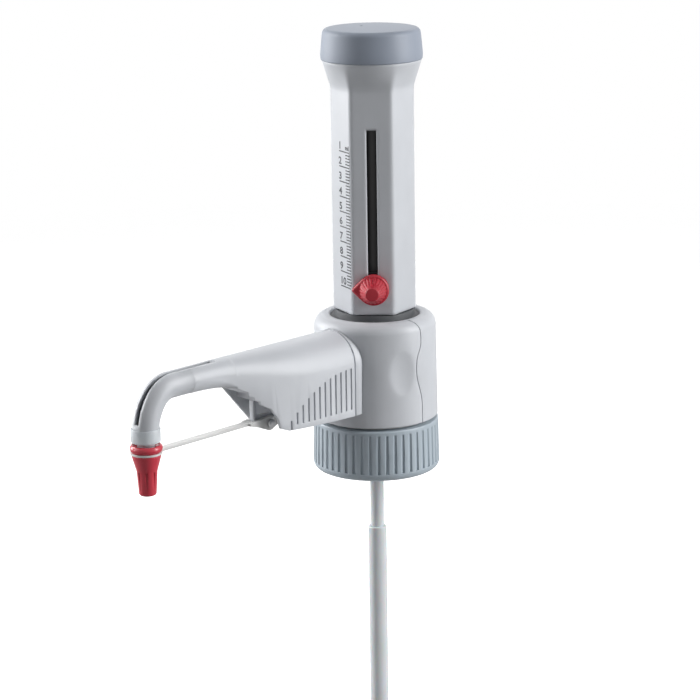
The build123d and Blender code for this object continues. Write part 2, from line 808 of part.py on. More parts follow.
with BuildPart() as arm_housing:
    for station, half_width, drop in arm_stations:
        add(arch(Plane.XZ.offset(station), half_width, arm_foot_z - 4, arm_axis_z + arm_r - drop))
    loft()
    # The flanks end in a stepped edge on one side and a plain one on the other
    for reach, edge in ((2 * arm_half_width, near_edge), (-2 * arm_half_width, far_edge)):
        under = [(y, block_z + height) for y, height in edge]
        extrude(
            outline(Plane.YZ, under + [(under[-1][0], arm_foot_z - 8), (under[0][0], arm_foot_z - 8)]),
            amount=reach,
            mode=Mode.SUBTRACT,
        )
    with BuildPart():
        for station, half_width, foot, corner in neck_stations:
            add(neck_section(Plane.XZ.offset(station), half_width, block_z + foot, corner))
        loft()
    with BuildSketch(Plane.XZ.offset(-elbow_start_y) * Location((0, arm_axis_z, 0))) as arm_circle:
        Circle(arm_r)
    arm_line = Plane.YZ * elbow_line(elbow_start_y, arm_end_z)
    sweep(arm_circle.sketch, path=arm_line)
    add(arm_hollow.part, mode=Mode.SUBTRACT)
    with BuildSketch(Plane.XZ.offset(-elbow_start_y) * Location((0, arm_axis_z, 0))) as arm_bore:
        Circle(arm_bore_r)
    sweep(arm_bore.sketch, path=arm_line, mode=Mode.SUBTRACT)
    # Slot along the crown of the elbow, between two narrow flats
    for depth, half_width, margin in (
        (arm_r - arm_bore_r + 0.4, groove_width / 2, 0),
        (groove_rim_depth, groove_width / 2 + groove_rim, groove_rim),
    ):
        floor_r = arm_r - depth
        start_y = groove_start_y + margin
        with BuildSketch(Plane.YZ) as slot_side:
            with BuildLine():
                add(elbow_line(start_y, arm_end_z, arm_r + 1))
                add(elbow_line(start_y, arm_end_z, floor_r))
                Line((start_y, arm_axis_z + arm_r + 1), (start_y, arm_axis_z + floor_r))
                Line((nozzle_y - arm_r - 1, arm_end_z), (nozzle_y - floor_r, arm_end_z))
            make_face()
            with Locations((nozzle_y, block_z + groove_end_height - margin)):
                Rectangle(4 * arm_r, 4 * arm_r, align=(Align.CENTER, Align.MAX), mode=Mode.SUBTRACT)
        extrude(slot_side.sketch, amount=half_width, both=True, mode=Mode.SUBTRACT)
    # Way through the front wall for the valve, and through the ribs for the tube
    with Locations(Plane.XZ.offset(-plate_front_y) * Location((0, duct_z, 0))):
        Cylinder(discharge_valve_r + play, 2 * arm_front_wall, align=low, mode=Mode.SUBTRACT)
    sweep(tube_section(discharge_tube_r + play), path=discharge_path(), mode=Mode.SUBTRACT)
    add(flank_grooves.part, mode=Mode.SUBTRACT)
    # Shadow line where the housing meets the coupling plate
    seam_plane = Plane.XZ.offset(-plate_front_y)
    with BuildSketch(seam_plane) as plate_seam:
        add(arch(seam_plane, arm_half_width + 1, arm_foot_z - 2, plate_ridge_z + 1))
        add(
            arch(
                seam_plane,
                arm_half_width - plate_seam_depth,
                arm_foot_z - 3,
                plate_ridge_z - plate_seam_depth,
            ),
            mode=Mode.SUBTRACT,
        )
    extrude(plate_seam.sketch, amount=play + plate_seam_width, mode=Mode.SUBTRACT)

# ---- Discharge tube and valve ----
with BuildPart() as discharge_tube:
    sweep(tube_section(discharge_tube_r), path=discharge_path())
    sweep(tube_section(discharge_bore_r), path=discharge_path(), mode=Mode.SUBTRACT)

discharge_ball_y = discharge_seat_y - sqrt(discharge_ball_r**2 - duct_r**2) - running
discharge_room_r = discharge_ball_r + discharge_ball_room

with BuildPart() as discharge_valve_body:
    with Locations(Plane.XZ.offset(-discharge_socket_y) * Location((0, duct_z, 0))):
        Cylinder(discharge_valve_r, discharge_socket_y - discharge_split_y, align=low)
        Cylinder(duct_r, discharge_socket_y - discharge_split_y, align=low, mode=Mode.SUBTRACT)
    with Locations(Plane.XZ.offset(-discharge_seat_y) * Location((0, duct_z, 0))):
        Cylinder(
            discharge_room_r, discharge_seat_y - discharge_split_y, align=low, mode=Mode.SUBTRACT
        )

with BuildPart() as discharge_valve_cap:
    with Locations(Plane.XZ.offset(-discharge_split_y + play) * Location((0, duct_z, 0))):
        Cylinder(discharge_valve_r, discharge_split_y - discharge_end_y, align=low)
        Cylinder(duct_r, discharge_split_y - discharge_end_y, align=low, mode=Mode.SUBTRACT)
    with Locations(Plane.XZ.offset(-discharge_tube_y - 5) * Location((0, duct_z, 0))):
        Cylinder(discharge_tube_r + play, 7, align=low, mode=Mode.SUBTRACT)

with BuildPart() as discharge_ball:
    with Locations((0, discharge_ball_y, duct_z)):
        Sphere(discharge_ball_r)

with BuildPart() as discharge_spring:
    spring_y = discharge_ball_y - sqrt(discharge_ball_r**2 - spring_r**2) - 2 * spring_wire_r
    spring_length = spring_y - discharge_split_y - spring_wire_r
    with BuildLine() as coil:
        Helix(
            pitch=spring_length / spring_turns,
            height=spring_length,
            radius=spring_r,
            center=(0, spring_y, duct_z),
            direction=(0, -1, 0),
        )
    with BuildSketch(Plane(origin=coil.line @ 0, z_dir=coil.line % 0)) as wire_section:
        RegularPolygon(radius=spring_wire_r, side_count=8)
    sweep(wire_section.sketch, path=coil.line, is_frenet=True)

# ---- Nozzle, tip cap and strap ----
with BuildPart() as nozzle_sleeve:
    sleeve_foot = block_z + nozzle_sleeve_foot
    sleeve_crown = sleeve_foot + nozzle_sleeve_height
    revolve(
        outline(
            nozzle_plane,
            [
                (discharge_tube_r + play, sleeve_foot - nozzle_neck_length),
                (nozzle_neck_r, sleeve_foot - nozzle_neck_length),
                (nozzle_neck_r, sleeve_foot),
                (nozzle_sleeve_r, sleeve_foot),
                (nozzle_sleeve_r, sleeve_crown),
                (arm_r + play, sleeve_crown),
                (arm_r + play, arm_end_z - play),
                (discharge_tube_r + play, arm_end_z - play),
            ],
        ),
        axis=nozzle_axis,
    )
    sleeve_corner = (0, nozzle_y + nozzle_sleeve_r, sleeve_foot)
    fillet(nozzle_sleeve.edges().sort_by_distance(sleeve_corner)[0], radius=0.4)

with BuildPart() as tip_cap:
    shoulder_z = groove_top_z - cap_groove_height
    flange_mid_z = cap_top_z - cap_flange_height / 2
    with BuildSketch(nozzle_plane) as cap_section:
        with BuildLine():
            Polyline(
                (0, cap_foot_z),
                (cap_foot_r, cap_foot_z),
                (cap_waist_r, cap_top_z - cap_waist_drop),
                (cap_shoulder_r, shoulder_z - 0.8),
                (cap_shoulder_r, shoulder_z),
                (cap_groove_r, shoulder_z),
                (cap_groove_r, groove_top_z),
                (cap_groove_r + 0.3, groove_top_z),
            )
            ThreePointArc(
                (cap_groove_r + 0.3, groove_top_z),
                (cap_flange_r, flange_mid_z),
                (cap_mouth_r + 0.8, cap_top_z),
            )
            Polyline(
                (cap_mouth_r + 0.8, cap_top_z),
                (cap_mouth_r, cap_top_z - 0.8),
                (cap_throat_r, cap_top_z - cap_throat_depth),
                (cap_throat_r, cap_top_z - cap_bore_depth),
                (discharge_tube_r, cap_top_z - cap_well_depth),
                (0, cap_top_z - cap_well_depth),
                (0, cap_foot_z),
            )
        make_face()
        cap_corner = (cap_foot_r, nozzle_y, cap_foot_z)
        fillet(cap_section.vertices().sort_by_distance(cap_corner)[0], radius=cap_foot_round)
    revolve(axis=nozzle_axis)
    with Locations((0, nozzle_y, cap_foot_z - 1)):
        with PolarLocations(cap_waist_r + 0.1, cap_flute_count):
            Cylinder(cap_flute_r, cap_height - cap_waist_drop + 1, align=low, mode=Mode.SUBTRACT)

strap_ring_z = groove_top_z - (cap_groove_height + strap_ring_thickness) / 2
strap_z = strap_ring_z + strap_rise
strap_ring_r = cap_groove_r + play + strap_ring_wall
strap_root_y = nozzle_y + cap_flange_r + slide_gap
ear_inner_x = clip_thickness / 2 + slide_gap
ear_outer_x = ear_inner_x + ear_thickness

with BuildPart() as cap_strap:
    with BuildSketch(Plane.XY.offset(strap_ring_z)):
        with Locations((0, nozzle_y)):
            Circle(strap_ring_r)
        with Locations((0, strap_root_y)):
            Rectangle(strap_width, 2 * strap_root_length)
        with Locations((0, nozzle_y)):
            Circle(cap_groove_r + play, mode=Mode.SUBTRACT)
    extrude(amount=strap_ring_thickness)
    with Locations((0, strap_root_y, strap_z)):
        Box(
            strap_width,
            fork_y - strap_root_y,
            strap_thickness,
            align=(Align.CENTER, Align.MIN, Align.MIN),
        )
    with Locations((0, fork_y, strap_z)):
        Box(
            2 * ear_outer_x,
            fork_length,
            strap_thickness,
            align=(Align.CENTER, Align.MAX, Align.MIN),
        )
    for side in (-1, 1):
        with BuildSketch(Plane.YZ.offset(side * ear_inner_x)) as ear:
            with BuildLine():
                Polyline(
                    (fork_y - fork_length, strap_z),
                    (fork_y - fork_length, strap_z + strap_thickness),
                    (pivot_y, pivot_z + ear_r),
                    (pivot_y + ear_tail, pivot_z + 0.7 * ear_r),
                    (pivot_y + ear_tail, pivot_z),
                    (pivot_y, pivot_z - ear_r),
                    (pivot_y - ear_r, pivot_z - 0.5 * ear_r),
                    close=True,
                )
            make_face()
            with Locations((pivot_y, pivot_z)):
                Circle(ear_r)
                Circle(pin_r + running, mode=Mode.SUBTRACT)
        extrude(ear.sketch, amount=side * ear_thickness)

with BuildPart() as strap_clip:
    extrude(
        outline(Plane.YZ, clip_edge),
        amount=clip_thickness / 2,
        both=True,
    )
    with Locations(Plane.YZ * Location((pivot_y, pivot_z, 0))):
        Cylinder(ear_r, clip_thickness)
        Cylinder(pin_r, clip_thickness, mode=Mode.SUBTRACT)

with BuildPart() as strap_pin:
    with Locations(Plane.YZ * Location((pivot_y, pivot_z, 0))):
        Cylinder(pin_r, 2 * (ear_outer_x + slide_gap))
    for side in (-1, 1):
        head_plane = Plane.YZ.offset(side * (ear_outer_x + slide_gap))
        with Locations(head_plane * Location((pivot_y, pivot_z, 0))):
            Cylinder(
                pin_head_r,
                pin_head_thickness,
                align=(Align.CENTER, Align.CENTER, Align.MIN if side > 0 else Align.MAX),
            )

# ---- Piston sleeve with its slot, and the rack behind it ----
with BuildPart() as piston_sleeve:
    extrude(hexagon(sleeve_z, sleeve_apothem, sleeve_edge_round), amount=sleeve_flare_height)
    add(hexagon(sleeve_z + sleeve_flare_height, sleeve_apothem, sleeve_edge_round))
    add(hexagon(sleeve_top_z, sleeve_top_r, sleeve_top_r - 0.4))
    loft(ruled=True)
    extrude(hexagon(sleeve_z, facet_inner, sleeve_edge_round / 2), amount=sleeve_height, mode=Mode.SUBTRACT)
    with Locations((0, 0, sleeve_bore_z)):
        Cylinder(sleeve_bore_r, sleeve_bore_depth, align=low, mode=Mode.SUBTRACT)
    slot_z = sleeve_z + (slot_foot + slot_top) / 2
    with BuildSketch(facet.offset(facet_inner - 1)) as slot_section:
        with Locations((0, slot_z)):
            Rectangle(slot_width, slot_top - slot_foot)
    extrude(slot_section.sketch, amount=sleeve_wall + 2, mode=Mode.SUBTRACT)
    with BuildSketch(facet.offset(sleeve_apothem)) as bevel_section:
        with Locations((0, slot_z)):
            Rectangle(slot_width + 2 * slot_bevel, slot_top - slot_foot + 2 * slot_bevel)
    extrude(bevel_section.sketch, amount=-slot_bevel, taper=45, mode=Mode.SUBTRACT)

with BuildPart() as toothed_rack:
    with BuildSketch(facet.offset(facet_inner - play)) as rack_section:
        with Locations((0, slot_z)):
            Rectangle(rack_width, slot_top - slot_foot + 2 * rack_margin)
            Rectangle(slot_width, slot_top - slot_foot, mode=Mode.SUBTRACT)
    extrude(rack_section.sketch, amount=-rack_thickness)
    tooth_count = int((slot_top - slot_foot) / rack_tooth_pitch)
    rack_face = facet_inner - play - rack_thickness
    with Locations(facet.offset(rack_face) * Location((0, slot_z, 0))):
        with GridLocations(rack_width, rack_tooth_pitch, 1, tooth_count):
            Box(
                rack_width + 1,
                rack_tooth_depth * sqrt(2),
                rack_tooth_depth * sqrt(2),
                rotation=(45, 0, 0),
                mode=Mode.SUBTRACT,
            )

# ---- Rod carrier, calibration nuts and top cap ----
with BuildPart() as rod_carrier:
    revolve(
        outline(
            Plane.XZ,
            [
                (rod_r + play, carrier_z - carrier_boss_length),
                (carrier_boss_r, carrier_z - carrier_boss_length),
                (carrier_boss_r, carrier_z),
                (sleeve_bore_r - play, carrier_z),
                (sleeve_bore_r - play, carrier_z + carrier_rim),
                (cap_skirt_inner_r - play, carrier_z + carrier_rim),
                (cap_skirt_inner_r - play, carrier_z + carrier_thickness),
                (rod_r + play, carrier_z + carrier_thickness),
            ],
        ),
        axis=Axis.Z,
    )

nut_z = carrier_z + carrier_thickness + play
lock_nut_z = nut_z + nut_thickness + play
rod_top_z = lock_nut_z + lock_nut_thickness + 1.0

with BuildPart() as calibration_nut:
    with Locations((0, 0, nut_z)):
        Cylinder(nut_r, nut_thickness, align=low)
        Cylinder(rod_r, nut_thickness, align=low, mode=Mode.SUBTRACT)
        with PolarLocations(nut_r, nut_notch_count):
            Cylinder(nut_notch_r, nut_thickness, align=low, mode=Mode.SUBTRACT)

with BuildPart() as lock_nut:
    with BuildSketch(Plane.XY.offset(lock_nut_z)):
        RegularPolygon(radius=lock_nut_flats / 2, side_count=6, major_radius=False)
        Circle(rod_r, mode=Mode.SUBTRACT)
    extrude(amount=lock_nut_thickness)

with BuildPart() as top_cap:
    cap_z = sleeve_top_z + play
    crown_z = cap_z + top_cap_height
    inner_r = top_cap_crown_r - top_cap_wall
    with BuildSketch(Plane.XZ) as top_cap_section:
        with BuildLine():
            Polyline(
                (cap_skirt_inner_r, carrier_z + carrier_rim + play),
                (sleeve_bore_r - play, carrier_z + carrier_rim + play),
                (sleeve_bore_r - play, cap_z),
                (sleeve_top_r + 0.15, cap_z),
                (top_cap_belly_r, cap_z + top_cap_belly),
                (top_cap_crown_r, crown_z),
                (0, crown_z),
                (0, crown_z - top_cap_wall),
                (inner_r, crown_z - top_cap_wall),
                (inner_r, cap_z + top_cap_wall),
                (cap_skirt_inner_r, cap_z + top_cap_wall),
                close=True,
            )
        make_face()
        fillet(
            top_cap_section.vertices().sort_by_distance((top_cap_crown_r, crown_z))[0],
            radius=top_cap_round,
        )
    revolve(axis=Axis.Z)
    with Locations((*key_hole_place, crown_z - top_cap_wall)):
        Cylinder(key_hole_r, top_cap_wall, align=low, mode=Mode.SUBTRACT)

# ---- Piston, its seals and its rod ----
piston_groove_z = (
    piston_z + piston_seal_inset,
    piston_z + piston_length - piston_seal_inset - piston_seal_height,
)

with BuildPart() as piston:
    with Locations((0, 0, piston_z)):
        Cylinder(piston_core_r, piston_length, align=low)
    for groove_z in piston_groove_z:
        with BuildSketch(Plane.XY.offset(groove_z - play / 2)):
            Circle(piston_core_r + 1)
            Circle(piston_seal_r, mode=Mode.SUBTRACT)
        extrude(amount=piston_seal_height + play, mode=Mode.SUBTRACT)
    with Locations((0, 0, piston_z + piston_length - rod_thread_length)):
        Cylinder(rod_thread_r, rod_thread_length, align=low, mode=Mode.SUBTRACT)
    chamfer(piston.faces().sort_by(Axis.Z)[0].edges(), length=0.4)

with BuildPart() as piston_seals:
    for groove_z in piston_groove_z:
        with BuildSketch(Plane.XY.offset(groove_z)):
            Circle(bore_r - running)
            Circle(piston_seal_r + play / 2, mode=Mode.SUBTRACT)
        extrude(amount=piston_seal_height)

with BuildPart() as piston_rod:
    rod_z = piston_z + piston_length
    with Locations((0, 0, rod_z - rod_thread_length + play)):
        Cylinder(rod_thread_r - play / 2, rod_thread_length, align=low)
    with Locations((0, 0, rod_z + play)):
        Cylinder(rod_r - play / 2, rod_top_z - rod_z - play, align=low)
    chamfer(piston_rod.faces().sort_by(Axis.Z)[-1].edges(), length=0.5)

# ---- Volume pointer, its slider and the thumb screw ----
slider_face = guard_outer_r + slide_gap
pointer_face = sleeve_apothem + slide_gap
knob_face = pointer_face + pointer_thickness + play

with BuildPart() as pointer_slider:
    with BuildSketch(facet.offset(slider_face)) as slider_section:
        with Locations((0, pointer_z)):
            Rectangle(slider_width, slider_height)
            Circle(stud_r + running, mode=Mode.SUBTRACT)
    extrude(slider_section.sketch, amount=slider_thickness)
    ridge_count = int(slider_height / rack_tooth_pitch) - 1
    ridge_width = (slider_width - slot_width) / 2
    for side in (-1, 1):
        ridge_u = side * (slot_width + ridge_width) / 2
        with Locations(facet.offset(slider_face + slider_thickness) * Location((ridge_u, pointer_z, 0))):
            with GridLocations(1, rack_tooth_pitch, 1, ridge_count):
                Box(ridge_width, ridge_side, ridge_side, rotation=(45, 0, 0))

with BuildPart() as volume_pointer:
    with BuildSketch(facet.offset(pointer_face)) as drop_section:
        with Locations((pointer_centre_u, pointer_z)):
            Circle(pointer_r)
        with Locations((pointer_tip_u + pointer_tip_r, pointer_z)):
            Circle(pointer_tip_r)
        make_hull()
    extrude(drop_section.sketch, amount=pointer_thickness)
    chamfer(
        volume_pointer.faces().sort_by(Axis((0, 0, 0), facet.z_dir))[-1].edges(),
        length=pointer_bevel,
    )
    with BuildSketch(facet.offset(slider_face + slider_thickness + play)) as shank_section:
        with Locations((0, pointer_z)):
            Rectangle(shank_width, shank_height)
    extrude(shank_section.sketch, amount=pointer_face - slider_face - slider_thickness)
    with BuildSketch(facet) as stud_way:
        with Locations((0, pointer_z)):
            Circle(stud_r + running)
    extrude(stud_way.sketch, amount=knob_face, mode=Mode.SUBTRACT)

with BuildPart() as thumb_screw:
    with BuildSketch(facet.offset(slider_face + play)) as stud_section:
        with Locations((0, pointer_z)):
            Circle(stud_r)
    extrude(stud_section.sketch, amount=knob_face - slider_face)
    with Locations(facet.offset(knob_face) * Location((0, pointer_z, 0))):
        Cone(knob_base_r, knob_end_r, knob_length, align=low)
    fillet(
        thumb_screw.faces().sort_by(Axis((0, 0, 0), facet.z_dir))[-1].edges(),
        radius=0.6,
    )

# ---- Labels and files ----
neck_seal.part.label = "neck_seal"
export_step(neck_seal.part, "parts/neck_seal.step")
thread_collar.part.label = "thread_collar"
export_step(thread_collar.part, "parts/thread_collar.step")
retaining_ring.part.label = "retaining_ring"
export_step(retaining_ring.part, "parts/retaining_ring.step")
valve_body.part.label = "valve_body"
export_step(valve_body.part, "parts/valve_body.step")
front_shell.part.label = "front_shell"
export_step(front_shell.part, "parts/front_shell.step")
rear_shell.part.label = "rear_shell"
export_step(rear_shell.part, "parts/rear_shell.step")
vent_cap.part.label = "vent_cap"
export_step(vent_cap.part, "parts/vent_cap.step")
filling_valve_seat.part.label = "filling_valve_seat"
export_step(filling_valve_seat.part, "parts/filling_valve_seat.step")
filling_valve_cage.part.label = "filling_valve_cage"
export_step(filling_valve_cage.part, "parts/filling_valve_cage.step")
filling_ball.part.label = "filling_ball"
export_step(filling_ball.part, "parts/filling_ball.step")
filling_tube_upper.part.label = "filling_tube_upper"
export_step(filling_tube_upper.part, "parts/filling_tube_upper.step")
filling_tube_lower.part.label = "filling_tube_lower"
export_step(filling_tube_lower.part, "parts/filling_tube_lower.step")
cylinder_seal.part.label = "cylinder_seal"
export_step(cylinder_seal.part, "parts/cylinder_seal.step")
glass_cylinder.part.label = "glass_cylinder"
export_step(glass_cylinder.part, "parts/glass_cylinder.step")
cylinder_guard.part.label = "cylinder_guard"
export_step(cylinder_guard.part, "parts/cylinder_guard.step")
landing_ring.part.label = "landing_ring"
export_step(landing_ring.part, "parts/landing_ring.step")
coupling_plate.part.label = "coupling_plate"
export_step(coupling_plate.part, "parts/coupling_plate.step")
arm_housing.part.label = "arm_housing"
export_step(arm_housing.part, "parts/arm_housing.step")
discharge_tube.part.label = "discharge_tube"
export_step(discharge_tube.part, "parts/discharge_tube.step")
discharge_valve_body.part.label = "discharge_valve_body"
export_step(discharge_valve_body.part, "parts/discharge_valve_body.step")
discharge_valve_cap.part.label = "discharge_valve_cap"
export_step(discharge_valve_cap.part, "parts/discharge_valve_cap.step")
discharge_ball.part.label = "discharge_ball"
export_step(discharge_ball.part, "parts/discharge_ball.step")
discharge_spring.part.label = "discharge_spring"
export_step(discharge_spring.part, "parts/discharge_spring.step")
nozzle_sleeve.part.label = "nozzle_sleeve"
export_step(nozzle_sleeve.part, "parts/nozzle_sleeve.step")
tip_cap.part.label = "tip_cap"
export_step(tip_cap.part, "parts/tip_cap.step")
cap_strap.part.label = "cap_strap"
export_step(cap_strap.part, "parts/cap_strap.step")
strap_clip.part.label = "strap_clip"
export_step(strap_clip.part, "parts/strap_clip.step")
strap_pin.part.label = "strap_pin"
export_step(strap_pin.part, "parts/strap_pin.step")
piston_sleeve.part.label = "piston_sleeve"
export_step(piston_sleeve.part, "parts/piston_sleeve.step")
toothed_rack.part.label = "toothed_rack"
export_step(toothed_rack.part, "parts/toothed_rack.step")
rod_carrier.part.label = "rod_carrier"
export_step(rod_carrier.part, "parts/rod_carrier.step")
calibration_nut.part.label = "calibration_nut"
export_step(calibration_nut.part, "parts/calibration_nut.step")
lock_nut.part.label = "lock_nut"
export_step(lock_nut.part, "parts/lock_nut.step")
top_cap.part.label = "top_cap"
export_step(top_cap.part, "parts/top_cap.step")
piston.part.label = "piston"
export_step(piston.part, "parts/piston.step")
piston_seals.part.label = "piston_seals"
export_step(piston_seals.part, "parts/piston_seals.step")
piston_rod.part.label = "piston_rod"
export_step(piston_rod.part, "parts/piston_rod.step")
pointer_slider.part.label = "pointer_slider"
export_step(pointer_slider.part, "parts/pointer_slider.step")
volume_pointer.part.label = "volume_pointer"
export_step(volume_pointer.part, "parts/volume_pointer.step")
thumb_screw.part.label = "thumb_screw"
export_step(thumb_screw.part, "parts/thumb_screw.step")
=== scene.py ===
import json
from math import cos, pi, radians, sin

import bpy
from mathutils import Matrix, Vector

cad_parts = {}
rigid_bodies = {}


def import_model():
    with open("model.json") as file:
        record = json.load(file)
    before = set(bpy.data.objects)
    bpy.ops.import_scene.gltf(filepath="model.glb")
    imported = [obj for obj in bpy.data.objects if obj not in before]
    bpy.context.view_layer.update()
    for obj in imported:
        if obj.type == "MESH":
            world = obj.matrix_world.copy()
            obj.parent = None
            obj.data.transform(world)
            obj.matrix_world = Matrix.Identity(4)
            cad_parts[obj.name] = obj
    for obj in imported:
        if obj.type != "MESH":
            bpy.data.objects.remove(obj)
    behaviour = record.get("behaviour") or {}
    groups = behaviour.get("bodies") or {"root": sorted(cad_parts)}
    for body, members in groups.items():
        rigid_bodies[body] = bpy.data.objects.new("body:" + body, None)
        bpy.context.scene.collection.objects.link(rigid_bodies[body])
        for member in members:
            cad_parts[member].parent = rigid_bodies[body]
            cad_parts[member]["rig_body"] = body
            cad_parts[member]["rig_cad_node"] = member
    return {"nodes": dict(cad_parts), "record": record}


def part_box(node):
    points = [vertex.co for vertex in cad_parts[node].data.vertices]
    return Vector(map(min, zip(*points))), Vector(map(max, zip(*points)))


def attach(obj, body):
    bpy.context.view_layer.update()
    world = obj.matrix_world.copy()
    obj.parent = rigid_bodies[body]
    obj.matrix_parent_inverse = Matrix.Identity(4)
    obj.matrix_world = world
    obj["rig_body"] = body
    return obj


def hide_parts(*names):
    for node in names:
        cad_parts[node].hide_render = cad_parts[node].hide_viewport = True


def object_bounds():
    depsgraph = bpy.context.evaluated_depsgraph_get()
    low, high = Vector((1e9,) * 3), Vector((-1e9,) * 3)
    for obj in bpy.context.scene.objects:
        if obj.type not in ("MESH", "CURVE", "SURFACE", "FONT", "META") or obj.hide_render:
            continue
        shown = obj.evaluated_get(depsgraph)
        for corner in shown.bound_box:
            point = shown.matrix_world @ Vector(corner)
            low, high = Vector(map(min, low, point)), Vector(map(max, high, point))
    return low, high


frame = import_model()
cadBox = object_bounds()
mm = 0.001
slotAzimuth = 40.8  # the slotted facet's turn from the arm, seen from above
flatAngle = 0.3  # degrees; faces that meet flatter than this become one before rounding
sharpAngle = 32  # degrees; edges that are sharper than this are rounded
mergeReach = 0.002  # mm; corners nearer than this are merged
sameHeight = 0.01  # mm; heights or depths nearer than this count as the same
print("frame loaded:", len(frame["nodes"]), "nodes")


def clearSelection():
    if bpy.context.mode != "OBJECT":
        bpy.ops.object.mode_set(mode="OBJECT")
    bpy.ops.object.select_all(action="DESELECT")


def takeActive(piece):
    clearSelection()
    piece.select_set(True)
    bpy.context.view_layer.objects.active = piece


def named(name):
    piece = bpy.context.object
    piece.name = name
    piece.data.name = name
    return piece


def bakePlace(piece):
    takeActive(piece)
    bpy.ops.object.transform_apply(location=True, rotation=True, scale=True)


def putModifier(piece, kind, **settings):
    takeActive(piece)
    modifier = piece.modifiers.new(kind.lower(), kind)
    for key, value in settings.items():
        setattr(modifier, key, value)
    bpy.ops.object.modifier_apply(modifier=modifier.name)


def cutWith(piece, cutter):
    putModifier(piece, "BOOLEAN", object=cutter, operation="DIFFERENCE", solver="EXACT")
    bpy.data.objects.remove(cutter)


def softenEdges(piece, width, segments, angle):
    putModifier(piece, "BEVEL", width=width, segments=segments, limit_method="ANGLE",
                angle_limit=radians(angle), harden_normals=False, use_clamp_overlap=True)


def tidyMesh(piece):
    takeActive(piece)
    bpy.ops.object.mode_set(mode="EDIT")
    bpy.ops.mesh.select_all(action="SELECT")
    bpy.ops.mesh.remove_doubles(threshold=mergeReach * mm)
    bpy.ops.mesh.normals_make_consistent(inside=False)
    bpy.ops.object.mode_set(mode="OBJECT")


# Selects the faces or edges whose corners pass the test, and leaves edit mode on.
def pick(piece, kind, wanted):
    takeActive(piece)
    bpy.ops.object.mode_set(mode="EDIT")
    bpy.context.tool_settings.mesh_select_mode = (False, kind == "edges", kind == "polygons")
    bpy.ops.mesh.select_all(action="DESELECT")
    bpy.ops.object.mode_set(mode="OBJECT")
    points = [v.co for v in piece.data.vertices]
    for part in getattr(piece.data, kind):
        corners = [points[i] for i in part.vertices]
        part.select = wanted(corners)
    bpy.ops.object.mode_set(mode="EDIT")


# Points on an arc of (across, up), angles in degrees.
def arc(centre, radius, start, end, count):
    turns = [radians(start + (end - start) * i / count) for i in range(count + 1)]
    return [(centre[0] + radius * cos(t), centre[1] + radius * sin(t)) for t in turns]


# A chain of edges through points given in mm, drawn from one vertex by extruding it.
def chain(name, points):
    clearSelection()
    bpy.ops.mesh.primitive_plane_add(size=mm, location=[v * mm for v in points[0]])
    piece = named(name)
    bakePlace(piece)
    bpy.ops.object.mode_set(mode="EDIT")
    bpy.context.tool_settings.mesh_select_mode = (True, False, False)
    bpy.ops.mesh.select_all(action="SELECT")
    bpy.ops.mesh.merge(type="CENTER")
    for here, there in zip(points, points[1:]):
        step = [(b - a) * mm for a, b in zip(here, there)]
        bpy.ops.mesh.extrude_region_move(TRANSFORM_OT_translate={"value": step})
    bpy.ops.object.mode_set(mode="OBJECT")
    return piece


# A turned piece: a profile of (radius, height) in mm spun about the upright axis.
def turned(name, profile, steps):
    piece = chain(name, [(radius, 0, height) for radius, height in profile])
    bpy.ops.object.mode_set(mode="EDIT")
    bpy.ops.mesh.select_all(action="SELECT")
    bpy.ops.mesh.spin(steps=steps, angle=2 * pi, axis=(0, 0, 1), use_auto_merge=True, center=(0, 0, 0))
    bpy.ops.object.mode_set(mode="OBJECT")
    tidyMesh(piece)
    return piece


# Turns a piece's mesh about a line through centre (mm).
def turnAbout(piece, angle, axis="Z", centre=(0, 0, 0)):
    at = Vector(centre) * mm
    turn = Matrix.Translation(at) @ Matrix.Rotation(radians(angle), 4, axis) @ Matrix.Translation(-at)
    piece.matrix_world = turn @ piece.matrix_world
    bakePlace(piece)


# A box between two corners in mm.
def block(name, low, high):
    clearSelection()
    middle = [(a + b) / 2 * mm for a, b in zip(low, high)]
    extent = [(b - a) * mm for a, b in zip(low, high)]
    bpy.ops.mesh.primitive_cube_add(size=1, location=middle, scale=extent)
    piece = named(name)
    bakePlace(piece)
    return piece


# An upright cylinder by its middle, in mm.
def rod(name, radius, length, middle, sides):
    clearSelection()
    bpy.ops.mesh.primitive_cone_add(vertices=sides, radius1=radius * mm, radius2=radius * mm,
                                    depth=length * mm, location=[v * mm for v in middle])
    piece = named(name)
    bakePlace(piece)
    return piece


# A merged copy of a CAD node, with its sharp edges rounded.
def softened(nodeName, width):
    source = frame["nodes"][nodeName]
    takeActive(source)
    bpy.ops.object.duplicate()
    words = nodeName.split("_")
    piece = named(words[0] + "".join(word.capitalize() for word in words[1:]))
    del piece["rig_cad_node"]
    tidyMesh(piece)
    bpy.ops.object.mode_set(mode="EDIT")
    bpy.ops.mesh.select_all(action="SELECT")
    bpy.ops.mesh.dissolve_limited(angle_limit=radians(flatAngle))
    bpy.ops.object.mode_set(mode="OBJECT")
    softenEdges(piece, width * mm, 2, sharpAngle)
    return piece


# Shades a piece, gives it its finish and joins it to the frame.
def dress(piece, body, material, smooth, replaced=()):
    takeActive(piece)
    bpy.ops.object.shade_smooth_by_angle(angle=radians(smooth))
    piece.data.materials.clear()
    piece.data.materials.append(material)
    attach(piece, body)
    if replaced:
        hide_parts(*replaced)


def newMaterial(name):
    material = bpy.data.materials.new(name)
    material.use_nodes = True
    tree = material.node_tree
    tree.nodes.clear()
    output = tree.nodes.new("ShaderNodeOutputMaterial")
    shader = tree.nodes.new("ShaderNodeBsdfPrincipled")
    tree.links.new(shader.outputs[0], output.inputs[0])
    return material, tree, shader


surface = {"cloudScale": 60, "cloudDetail": 3, "cloudLow": 0.3, "cloudHigh": 0.7, "grainSize": 0.35,
           "grainDetail": 2, "grainStrength": 0.5, "sheenSpread": 0.1, "bevelSamples": 6}


